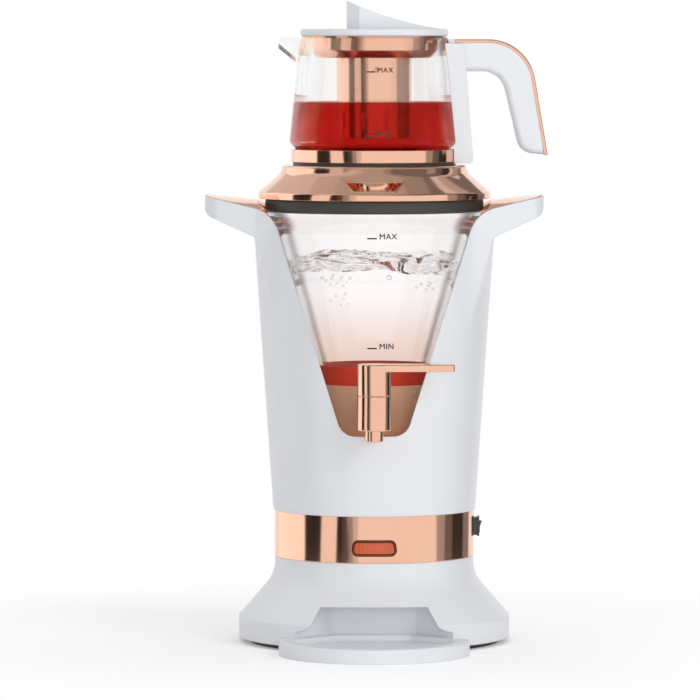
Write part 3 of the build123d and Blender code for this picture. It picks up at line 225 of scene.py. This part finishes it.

# %% [markdown]
# Glass: pressed borosilicate, clear, with the slight waviness of a pressed wall. Where the eye looks
# straight at a thin wall it sees nothing of it, and where it looks along the wall the glass bends light
# and darkens. A Layer Weight node tells the two apart: it blends from a plain see-through surface to
# real refraction towards the outline. The teapot's spout stands clear of the wall and bends light all
# over. The lower part of the tank glass is tinted pink, fading upwards: a painted reflection of the copper bowl.

# %% Glass and lamp glass


def outline_share(tree, low, high, least, most):
    """A share that grows from the middle of a round wall to its outline, where the eye looks along it."""
    facing = add(tree, "ShaderNodeLayerWeight", {"Blend": 0.5}).outputs["Facing"]
    return add(tree, "ShaderNodeMapRange", {0: facing, 1: low, 2: high, 3: least, 4: most},
               interpolation_type="SMOOTHSTEP").outputs[0]


def glass_finish(name, tints, wave_depth_mm, painted_blush_mm, outline, cone):
    """Clear glass: a foot tint, on the tank a painted reflection of the copper bowl, that fades over the blush heights,
    the outline share's four values, and a cone outside which the glass bends light everywhere, as its taper and its
    radius at height 0."""
    material, tree, place = new_material(name)
    waves = add(tree, "ShaderNodeTexNoise", {"Vector": place, "Scale": per_metre(35), "Detail": 1.0})
    bump = add(tree, "ShaderNodeBump", {"Height": waves.outputs[0], "Distance": wave_depth_mm * MM})
    height = add(tree, "ShaderNodeSeparateXYZ", {0: place}).outputs[2]
    share = add(tree, "ShaderNodeMapRange", {0: height, 1: painted_blush_mm[0] * MM, 2: painted_blush_mm[1] * MM},
                interpolation_type="SMOOTHSTEP")
    tint = add(tree, "ShaderNodeMix", {0: share.outputs[0], 6: linear(tints[0]), 7: linear(tints[1])},
               data_type="RGBA")
    wall = add(tree, "ShaderNodeBsdfPrincipled", {
        "Base Color": tint.outputs[2], "Roughness": 0.0, "IOR": 1.47, "Transmission Weight": 1.0,
        "Normal": bump.outputs[0]})
    plain = add(tree, "ShaderNodeBsdfTransparent", {"Color": tint.outputs[2]})
    level = add(tree, "ShaderNodeVectorMath", {0: place, 1: (1, 1, 0)}, operation="MULTIPLY")
    reach = add(tree, "ShaderNodeVectorMath", {0: level.outputs[0]}, operation="LENGTH")
    spread = add(tree, "ShaderNodeMath", {0: height, 1: cone[0], 2: reach.outputs["Value"]}, operation="MULTIPLY_ADD")
    apart = add(tree, "ShaderNodeMath", {0: spread.outputs[0], 1: cone[1] * MM}, operation="GREATER_THAN")
    bent = add(tree, "ShaderNodeMath", {0: outline_share(tree, *outline), 1: apart.outputs[0]}, operation="MAXIMUM")
    surface = add(tree, "ShaderNodeMixShader", {0: bent.outputs[0], 1: plain.outputs[0], 2: wall.outputs[0]})
    add(tree, "ShaderNodeOutputMaterial", {"Surface": surface.outputs[0]})
    return material


# The tank's pink foot tint is a painted reflection of the copper bowl.
finishes["tank_glass"] = glass_finish(
    "pressed_borosilicate_glass", ("#FBF3EF", "#FFFEFE"), 0.002, (214, 288), (0.5, 0.8, 0.06, 1.0), (0, 200))
blown_glass = glass_finish(
    "blown_borosilicate_glass", ("#FEFEFE", "#FEFEFE"), 0.002, (214, 288), (0.4, 0.7, 0.12, 1.0), (0.0984, 108.6))
finishes["lamp_glass"] = glass_finish(
    "amber_lamp_glass", ("#F7C9A4", "#F7C9A4"), 0.02, (0, 1), (0.2, 0.6, 0.5, 1.0), (0, 200))

# %% [markdown]
# The CAD meshes are loose triangles. A small geometry node group welds them and shades them smooth,
# with creases kept where two faces meet at more than 28 degrees. A second modifier lets large flat
# faces decide the shading at their corners, so that they stay flat beside a rounding. Modifiers leave
# the CAD mesh itself untouched.

# %% Smooth shading for the CAD pieces


def smooth_group():
    group = bpy.data.node_groups.new("weld_and_shade_smooth", "GeometryNodeTree")
    group.interface.new_socket("Geometry", in_out="INPUT", socket_type="NodeSocketGeometry")
    group.interface.new_socket("Geometry", in_out="OUTPUT", socket_type="NodeSocketGeometry")
    start = add(group, "NodeGroupInput")
    weld = add(group, "GeometryNodeMergeByDistance", {"Geometry": start.outputs[0], "Distance": 0.002 * MM})
    smooth = add(group, "GeometryNodeSetShadeSmooth", {"Geometry": weld.outputs[0], "Shade Smooth": True},
                 domain="FACE")
    angle = add(group, "GeometryNodeInputMeshEdgeAngle")
    crease = add(group, "FunctionNodeCompare", {0: angle.outputs[0], 1: math.radians(28)},
                 data_type="FLOAT", operation="GREATER_THAN")
    sharp = add(group, "GeometryNodeSetShadeSmooth", {"Geometry": smooth.outputs[0], "Selection": crease.outputs[0],
                                                      "Shade Smooth": False}, domain="EDGE")
    add(group, "NodeGroupOutput", {0: sharp.outputs[0]})
    return group


shade_smooth = smooth_group()
slot_of = {row["node"]: row["material_slot"] for row in frame["record"]["subparts"]}
own_finish = {"tank_bowl": bowl_painted_reflection, "teapot_glass": blown_glass, "teapot_floor": blown_glass}
for node, piece in frame["nodes"].items():
    piece.data.materials.clear()
    piece.data.materials.append(own_finish.get(node, finishes[slot_of[node]]))
    modifier = piece.modifiers.new("shade_smooth", "NODES")
    modifier.node_group = shade_smooth
    flats = piece.modifiers.new("flat_faces_lead", "WEIGHTED_NORMAL")
    flats.weight = 100
    flats.keep_sharp = True
print(len(frame["nodes"]), "CAD nodes finished in", len(finishes), "materials")

# %% [markdown]
# New pieces start as a profile in the XZ plane that is spun round the axis, as a potter would do. The
# helper below takes the profile's points in millimetres and closes the seam.

# %% Lathe and piece helpers


def new_piece(name, shape, material, body):
    """Turns a bmesh into a piece that rides on a body, with the given finish."""
    mesh = bpy.data.meshes.new(name)
    shape.to_mesh(mesh)
    shape.free()
    mesh.materials.append(material)
    piece = bpy.data.objects.new(name, mesh)
    bpy.context.collection.objects.link(piece)
    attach(piece, body)
    print(name, len(mesh.polygons), "faces")
    return piece


def lathe(points_mm, steps):
    """A closed turned shape from a half profile that starts and ends on the axis."""
    shape = bmesh.new()
    profile = [shape.verts.new((r * MM, 0, z * MM)) for r, z in points_mm]
    edges = [shape.edges.new(pair) for pair in zip(profile, profile[1:])]
    bmesh.ops.spin(shape, geom=profile + edges, cent=(0, 0, 0), axis=(0, 0, 1), angle=2 * math.pi, steps=steps,
                   use_merge=True)
    bmesh.ops.remove_doubles(shape, verts=shape.verts, dist=0.001 * MM)
    bmesh.ops.recalc_face_normals(shape, faces=shape.faces)
    for face in shape.faces:
        face.smooth = True
    return shape


# %% [markdown]
# Water in the tank, on the boil. Still, clear water shows nothing of its own: what the eye sees is the
# surface. So the piece is the top layer only, a lathe that reaches a hair into the glass wall, with its
# upper and its lower face pushed up and down by smooth noise into choppy waves and one high crest.

# %% Water
tank_foot_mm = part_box("tank_glass")[0][2] / MM
tank_wall_mm = 3.5
tank_slope = math.tan(math.radians(16.3))
tank_foot_radius_mm = 41.6
overlap_mm = 0.3
water_level_mm = 309.0
water_layer_mm = 9.0


def tank_outside(z):
    """Outer radius of the tank's cone at a height, in millimetres."""
    return tank_foot_radius_mm + (z - tank_foot_mm) * tank_slope


def tank_inside(z):
    return tank_outside(z) - tank_wall_mm / math.cos(math.atan(tank_slope))


def wave_height(x, y, seed):
    """Height of the boiling surface above its mean level, from smooth noise at two sizes."""
    swell = noise.noise(Vector((x / 0.036, y / 0.036, seed)))
    chop = noise.noise(Vector((x / 0.013, y / 0.013, seed + 3)))
    crest = math.exp(-((x - 0.014) ** 2 + (y + 0.03) ** 2) / 0.0003)
    return (6.0 * swell + 4.0 * chop + 7.0 * crest - 1.0) * MM


def water_shape():
    ring_count = 28
    faces = []
    for level in (water_level_mm - water_layer_mm, water_level_mm):
        rim = tank_inside(level) + overlap_mm
        faces.append([(rim * i / ring_count, level) for i in range(ring_count + 1)])
    shape = lathe(faces[0] + faces[1][::-1], 160)
    middle = (water_level_mm - water_layer_mm / 2) * MM
    for vertex in shape.verts:
        reach = math.hypot(vertex.co.x, vertex.co.y)
        on_rim = reach > (tank_inside(vertex.co.z / MM) + overlap_mm - 0.5) * MM
        lift = wave_height(vertex.co.x, vertex.co.y, 0.7 if vertex.co.z > middle else 5.2)
        vertex.co.z += lift
        if on_rim:
            vertex.co.x *= 1 + lift * tank_slope / reach
            vertex.co.y *= 1 + lift * tank_slope / reach
    return shape


def water_finish():
    """Boiling water: clear, with a fine ripple on its surface."""
    material, tree, place = new_material("boiling_water")
    ripple = add(tree, "ShaderNodeTexNoise", {"Vector": place, "Scale": per_metre(6), "Detail": 1.0})
    bump = add(tree, "ShaderNodeBump", {"Height": ripple.outputs[0], "Distance": 0.02 * MM})
    surface = add(tree, "ShaderNodeBsdfPrincipled", {
        "Base Color": linear("#FFFFFF"), "Roughness": 0.0, "IOR": 1.333, "Transmission Weight": 1.0,
        "Normal": bump.outputs[0]})
    add(tree, "ShaderNodeOutputMaterial", {"Surface": surface.outputs[0]})
    return material


boiling = water_finish()
water = new_piece("water", water_shape(), boiling, "base")

# %% [markdown]
# Steam bubbles gather under the surface in a few clusters. Each is a thin round film: an outer sphere
# and a smaller inner one turned inside out, so light bends at the rim and passes through the middle.

# %% Bubbles


def bubble_shape(clusters):
    """Films at golden-angle places round each centre: x, y, z, half width, half height, count, radius."""
    shape = bmesh.new()
    for x, y, z, wide, tall, count, radius in clusters:
        for i in range(count):
            reach = math.sqrt((i + 0.5) / count)
            turn = i * 2.39996
            aside = x + wide * reach * math.cos(turn)
            place = Vector((aside, y + 4 * math.cos(3 * turn), z + tall * reach * math.sin(turn)))
            size = radius * (0.6 + 0.4 * ((i * 0.618034) % 1.0))
            for share in (1.0, 0.8):
                made = bmesh.ops.create_icosphere(shape, subdivisions=3, radius=share * size * MM,
                                                  matrix=Matrix.Translation(place * MM))
                faces = list({face for vertex in made["verts"] for face in vertex.link_faces})
                for face in faces:
                    face.smooth = True
                if share < 1:
                    bmesh.ops.reverse_faces(shape, faces=faces)
    return shape


bubbles = new_piece("bubbles", bubble_shape([
    (-30, -40, 291, 13, 5, 11, 1.5), (40, -38, 286, 8, 4, 6, 1.6), (11, -44, 293, 1, 1, 1, 3.6),
    (-27, -40, 276, 9, 7, 6, 1.2), (-46, -34, 303, 7, 4, 5, 1.8), (48, -34, 300, 6, 5, 5, 2.2)]),
    boiling, "base")

# %% [markdown]
# Tea in the pot. Black tea takes its colour from its depth, so the colour is an absorption inside the
# volume and not paint on its surface: thin parts turn orange, deep parts turn dark red. It wets the
# glass, so the wall hardly bends light there, and the surface is see-through except near its outline.

# %% Tea
pot_bottom_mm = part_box("teapot_floor")[1][2] / MM
ring_top_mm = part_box("teapot_base")[1][2] / MM
tea_level_mm = 432.0
pot_wall_mm = 2.4
pot_belly_mm = 68.0
pot_foot_mm = 60.5
pot_taper = 6.1 / 62


def tea_shape():
    floor = pot_bottom_mm - overlap_mm
    inside = overlap_mm - pot_wall_mm
    belly = ring_top_mm + 5
    level_radius = pot_belly_mm + inside - (tea_level_mm - belly) * pot_taper
    points = [(0, floor), (pot_foot_mm + inside - 2, floor), (pot_foot_mm + inside, floor + 2),
              (pot_foot_mm + inside, ring_top_mm - 1.2), (pot_foot_mm + inside + 1.2, ring_top_mm),
              (pot_belly_mm + inside - 1.0, belly - 0.9), (pot_belly_mm + inside - 0.35, belly + 3),
              (level_radius, tea_level_mm), (level_radius - 1.5, tea_level_mm - 0.9),
              (level_radius - 5, tea_level_mm - 1.2), (0, tea_level_mm - 1.2)]
    return lathe(points, 160)


def tea_finish():
    material, tree, place = new_material("brewed_black_tea")
    ripple = add(tree, "ShaderNodeTexNoise", {"Vector": place, "Scale": per_metre(25), "Detail": 1.0})
    bump = add(tree, "ShaderNodeBump", {"Height": ripple.outputs[0], "Distance": 0.01 * MM})
    surface = add(tree, "ShaderNodeBsdfPrincipled", {
        "Base Color": linear("#F6B4A2"), "Roughness": 0.0, "IOR": 1.34, "Transmission Weight": 1.0,
        "Normal": bump.outputs[0]})
    plain = add(tree, "ShaderNodeBsdfTransparent", {"Color": linear("#F3C3B6")})
    skin = add(tree, "ShaderNodeMixShader", {
        0: outline_share(tree, 0.5, 0.9, 0.08, 0.7), 1: plain.outputs[0], 2: surface.outputs[0]})
    depth = add(tree, "ShaderNodeVolumeAbsorption", {"Color": linear("#EC4A19"), "Density": 36.0})
    add(tree, "ShaderNodeOutputMaterial", {"Surface": skin.outputs[0], "Volume": depth.outputs[0]})
    return material


tea = new_piece("tea", tea_shape(), tea_finish(), "teapot")

# %% [markdown]
# Level marks: dark ink printed on the outside of the glass, a dash and a word at each level. The words
# start as text, become a mesh, and are wrapped round the cone a few hundredths of a millimetre proud.

# %% Level marks


def word_shape(word, letter_mm):
    """A word as a flat mesh in the XY plane, from its left edge."""
    text = bpy.data.curves.new("mark_text", "FONT")
    text.body = word
    text.size = letter_mm * MM / 0.72
    text.space_character = 1.08
    holder = bpy.data.objects.new("mark_text", text)
    mesh = bpy.data.meshes.new_from_object(holder)
    bpy.data.objects.remove(holder)
    bpy.data.curves.remove(text)
    shape = bmesh.new()
    shape.from_mesh(mesh)
    bpy.data.meshes.remove(mesh)
    return shape


def level_mark(name, word, letter_mm, left_mm, dash_mm, height_mm, outside, material, body):
    """A dash and a word wrapped round the glass, whose radius at a height is given by outside."""
    shape = word_shape(word, letter_mm)
    heavier = bmesh.ops.duplicate(shape, geom=shape.faces)["geom"]
    moved = [part for part in heavier if isinstance(part, bmesh.types.BMVert)]
    bmesh.ops.translate(shape, verts=moved, vec=(0.06 * letter_mm * MM, 0.02 * letter_mm * MM, 0))
    word_left = left_mm + dash_mm + 0.35 * letter_mm
    bmesh.ops.translate(shape, verts=shape.verts, vec=(word_left * MM, 0, 0))
    dash = bmesh.ops.create_grid(shape, x_segments=6, y_segments=1, size=0.5)["verts"]
    bmesh.ops.scale(shape, verts=dash, vec=(dash_mm * MM, 0.25 * letter_mm * MM, 1))
    bmesh.ops.translate(shape, verts=dash, vec=((left_mm + dash_mm / 2) * MM, 0.125 * letter_mm * MM, 0))
    bmesh.ops.subdivide_edges(shape, edges=[e for e in shape.edges if e.calc_length() > 2 * MM], cuts=1)
    ink_mm = 0.06
    for vertex in shape.verts:
        z = height_mm + vertex.co.y / MM
        radius = (outside(z) + ink_mm) * MM
        turn = vertex.co.x / radius
        vertex.co = (radius * math.sin(turn), -radius * math.cos(turn), z * MM)
    bmesh.ops.recalc_face_normals(shape, faces=shape.faces)
    outward = sum((face.normal.dot(Vector((0, -1, 0))) for face in shape.faces))
    if outward < 0:
        bmesh.ops.reverse_faces(shape, faces=shape.faces)
    return new_piece(name, shape, material, body)


def pot_outside(z):
    """Outer radius of the teapot's straight wall at a height, in millimetres."""
    return pot_belly_mm - (z - ring_top_mm - 5) * pot_taper


ink = opaque_finish("screen_printed_black_ink", ("#2B2624", "#332D2A"), (0.4, 0.55), 4, 0.6, 0.004, 0.05)
level_mark("tank_mark_max", "MAX", 4.6, -5.5, 7.6, 324.6, tank_outside, ink, "base")
level_mark("tank_mark_min", "MIN", 4.6, -5.5, 7.6, 236.6, tank_outside, ink, "base")
level_mark("pot_mark_max", "MAX", 4.1, -6.3, 7.0, 455.6, pot_outside, ink, "teapot")
level_mark("pot_mark_min", "MIN", 4.1, -6.3, 7.0, 405.2, pot_outside, ink, "teapot")

# %% [markdown]
# Clear glass, water and tea let lamp light through to what is behind them. A path tracer finds such
# bent light only by luck, so these pieces are told to cast no shadow, and the lamps reach the inside.

# %% Clear pieces cast no shadow
for piece in (*(frame["nodes"][node] for node in ("tank_glass", "teapot_glass", "teapot_floor")), water, bubbles, tea):
    piece.visible_shadow = False
    piece.visible_diffuse = False

# %% [markdown]
# The studio starts with its floor: a sheet of white paper. Near the object it is lit and shaded, so the
# object stands on something, and further off it runs out into plain white, as a paper sweep does in a
# picture. A Light Path node keeps that white out of the diffuse light, or it would flood the object.

# %% Floor


def stage_sheet(name, size, matrix, material):
    """A flat sheet of the studio, placed in its mesh."""
    shape = bmesh.new()
    bmesh.ops.create_grid(shape, x_segments=1, y_segments=1, size=0.5)
    bmesh.ops.scale(shape, verts=shape.verts, vec=(size[0], size[1], 1))
    bmesh.ops.transform(shape, matrix=matrix, verts=shape.verts)
    mesh = bpy.data.meshes.new(name)
    shape.to_mesh(mesh)
    shape.free()
    mesh.materials.append(material)
    sheet = bpy.data.objects.new(name, mesh)
    bpy.context.collection.objects.link(sheet)
    return sheet


def seen_rays(tree):
    """One for camera, mirror and see-through rays, nought for the rays that carry diffuse light."""
    path = add(tree, "ShaderNodeLightPath")
    either = add(tree, "ShaderNodeMath", {0: path.outputs["Is Camera Ray"], 1: path.outputs["Is Glossy Ray"]},
                 operation="MAXIMUM")
    return add(tree, "ShaderNodeMath", {0: either.outputs[0], 1: path.outputs["Is Transmission Ray"]},
               operation="MAXIMUM").outputs[0]


def floor_finish():
    """White paper: lit and shaded near the object, running out into plain white further off."""
    material, tree, place = new_material("white_paper_sweep")
    paper = add(tree, "ShaderNodeBsdfDiffuse", {"Color": linear("#F4F4F4")})
    lift = add(tree, "ShaderNodeEmission", {"Color": linear("#FFFFFF"), "Strength": 0.22})
    lit = add(tree, "ShaderNodeAddShader", {0: paper.outputs[0], 1: lift.outputs[0]})
    white = add(tree, "ShaderNodeEmission", {"Color": linear("#FFFFFF"), "Strength": 1.0})
    distance = add(tree, "ShaderNodeVectorMath", {0: place}, operation="LENGTH")
    far = add(tree, "ShaderNodeMapRange", {0: distance.outputs["Value"], 1: 0.2, 2: 0.55},
              interpolation_type="SMOOTHSTEP")
    seen = add(tree, "ShaderNodeMixShader", {0: far.outputs[0], 1: lit.outputs[0], 2: white.outputs[0]})
    mixed = add(tree, "ShaderNodeMixShader", {0: seen_rays(tree), 1: paper.outputs[0], 2: seen.outputs[0]})
    add(tree, "ShaderNodeOutputMaterial", {"Surface": mixed.outputs[0]})
    return material


stage_sheet("floor", (30, 30), Matrix.Identity(4), floor_finish())
print("floor laid at height 0")

# %% [markdown]
# The room round it is white for the eye, for mirrors and through glass. As a light it is only half as
# strong, so that the soft boxes below can shape the white housing.

# %% White surroundings
world = bpy.data.worlds.new("white_studio")
world.use_nodes = True
world.node_tree.nodes.clear()
bpy.context.scene.world = world
room_light = 0.48
strength = add(world.node_tree, "ShaderNodeMapRange", {0: seen_rays(world.node_tree), 3: room_light, 4: 1.0})
room = add(world.node_tree, "ShaderNodeBackground", {"Color": (1, 1, 1, 1), "Strength": strength.outputs[0]})
add(world.node_tree, "ShaderNodeOutputWorld", {"Surface": room.outputs[0]})

# %% [markdown]
# Six soft boxes: the key from the front right, a weak fill from the left, a broad one and a low one in
# front for the niche, one above and one behind. They are large for their distance, so their shadows
# are soft. Mirrors and glass don't see them, as the cards below give the metal its reflections.

# %% Soft boxes


def soft_box(name, place, power, size):
    lamp = bpy.data.lights.new(name, "AREA")
    lamp.energy = power
    lamp.size = size
    holder = bpy.data.objects.new(name, lamp)
    bpy.context.collection.objects.link(holder)
    holder.location = place
    aim = Vector((0, 0, 0.25)) - Vector(place)
    holder.rotation_euler = aim.to_track_quat("-Z", "Y").to_euler()
    holder.visible_glossy = False
    holder.visible_transmission = False
    return holder


soft_box("key_box", (1.5, -1.7, 1.3), 15.0, 1.2)
soft_box("fill_box", (-1.7, -1.5, 0.9), 2.0, 1.4)
soft_box("front_box", (0.3, -3.2, 0.5), 13.0, 1.2)
soft_box("low_box", (0.1, -2.4, 0.12), 9.0, 0.8)
soft_box("rear_box", (-1.2, 1.9, 1.2), 5.0, 1.2)
soft_box("top_box", (0.1, 0.3, 2.0), 8.0, 1.4)
print(len(bpy.data.lights), "soft boxes, room at", room_light)

# %% [markdown]
# Polished metal looks like what it mirrors. In an all-white room it would turn flat and pale, so a
# product photographer stands dark and bright cards round it, outside the picture: each upright card
# makes one upright stripe on the band. Strips under the ceiling, brighter on the left, shade the bell.

# %% Cards for the metal


def card_finish(name, level):
    material, tree, place = new_material(name)
    weave = add(tree, "ShaderNodeTexNoise", {"Vector": place, "Scale": per_metre(400)})
    shade = add(tree, "ShaderNodeMapRange", {0: weave.outputs[0], 3: 0.9 * level, 4: 1.1 * level})
    glow = add(tree, "ShaderNodeEmission", {"Color": (1, 1, 1, 1), "Strength": shade.outputs[0]})
    add(tree, "ShaderNodeOutputMaterial", {"Surface": glow.outputs[0]})
    return material


def only_mirrors_see(sheet):
    sheet.visible_camera = False
    sheet.visible_diffuse = False
    sheet.visible_shadow = False


def card(name, size, matrix, level):
    """A sheet of a given brightness that only mirrors see."""
    only_mirrors_see(stage_sheet(name, size, matrix, card_finish(name, level)))


def upright_card(name, left, right, level):
    """A card round the object between two bearings, counted in degrees from the camera's side."""
    distance = 0.6
    height = 0.8
    width = 2 * distance * math.tan(math.radians((right - left) / 2))
    turn = Matrix.Rotation(math.radians((left + right) / 2), 4, "Z")
    upright = Matrix.Translation((0, -distance, height / 2)) @ Matrix.Rotation(math.radians(90), 4, "X")
    card(name, (width, height), turn @ upright, level)


for number, (left, right, level) in enumerate([
        (-138, -84, 1.25), (-82, -60, 0.03), (-41, -35, 0.02), (-35, -29, 0.08), (-29, -23, 0.35), (-23, -17, 0.7),
        (72, 84, 0.4), (84, 96, 0.15), (96, 118, 0.04), (118, 134, 0.25)]):
    upright_card(f"card_{number}", left, right, level)
for number, (left, right, level) in enumerate([
        (-4.5, -1.0, 0.7), (-1.0, -0.6, 0.56), (-0.6, 0.5, 0.46), (0.5, 0.85, 0.34), (0.85, 4.5, 0.2)]):
    card(f"card_ceiling_{number}", (right - left, 9), Matrix.Translation(((left + right) / 2, 0, 2.2)), level)
print("cards set round and above the object")

# %% [markdown]
# Light that crosses the teapot passes many faces of glass and tea. The path tracer is allowed enough
# bounces to come out on the other side, or the middle of the pot would turn black.

# %% Bounces
bounces = bpy.context.scene.cycles
bounces.max_bounces = 32
bounces.transmission_bounces = 32
bounces.glossy_bounces = 16
bounces.transparent_max_bounces = 32
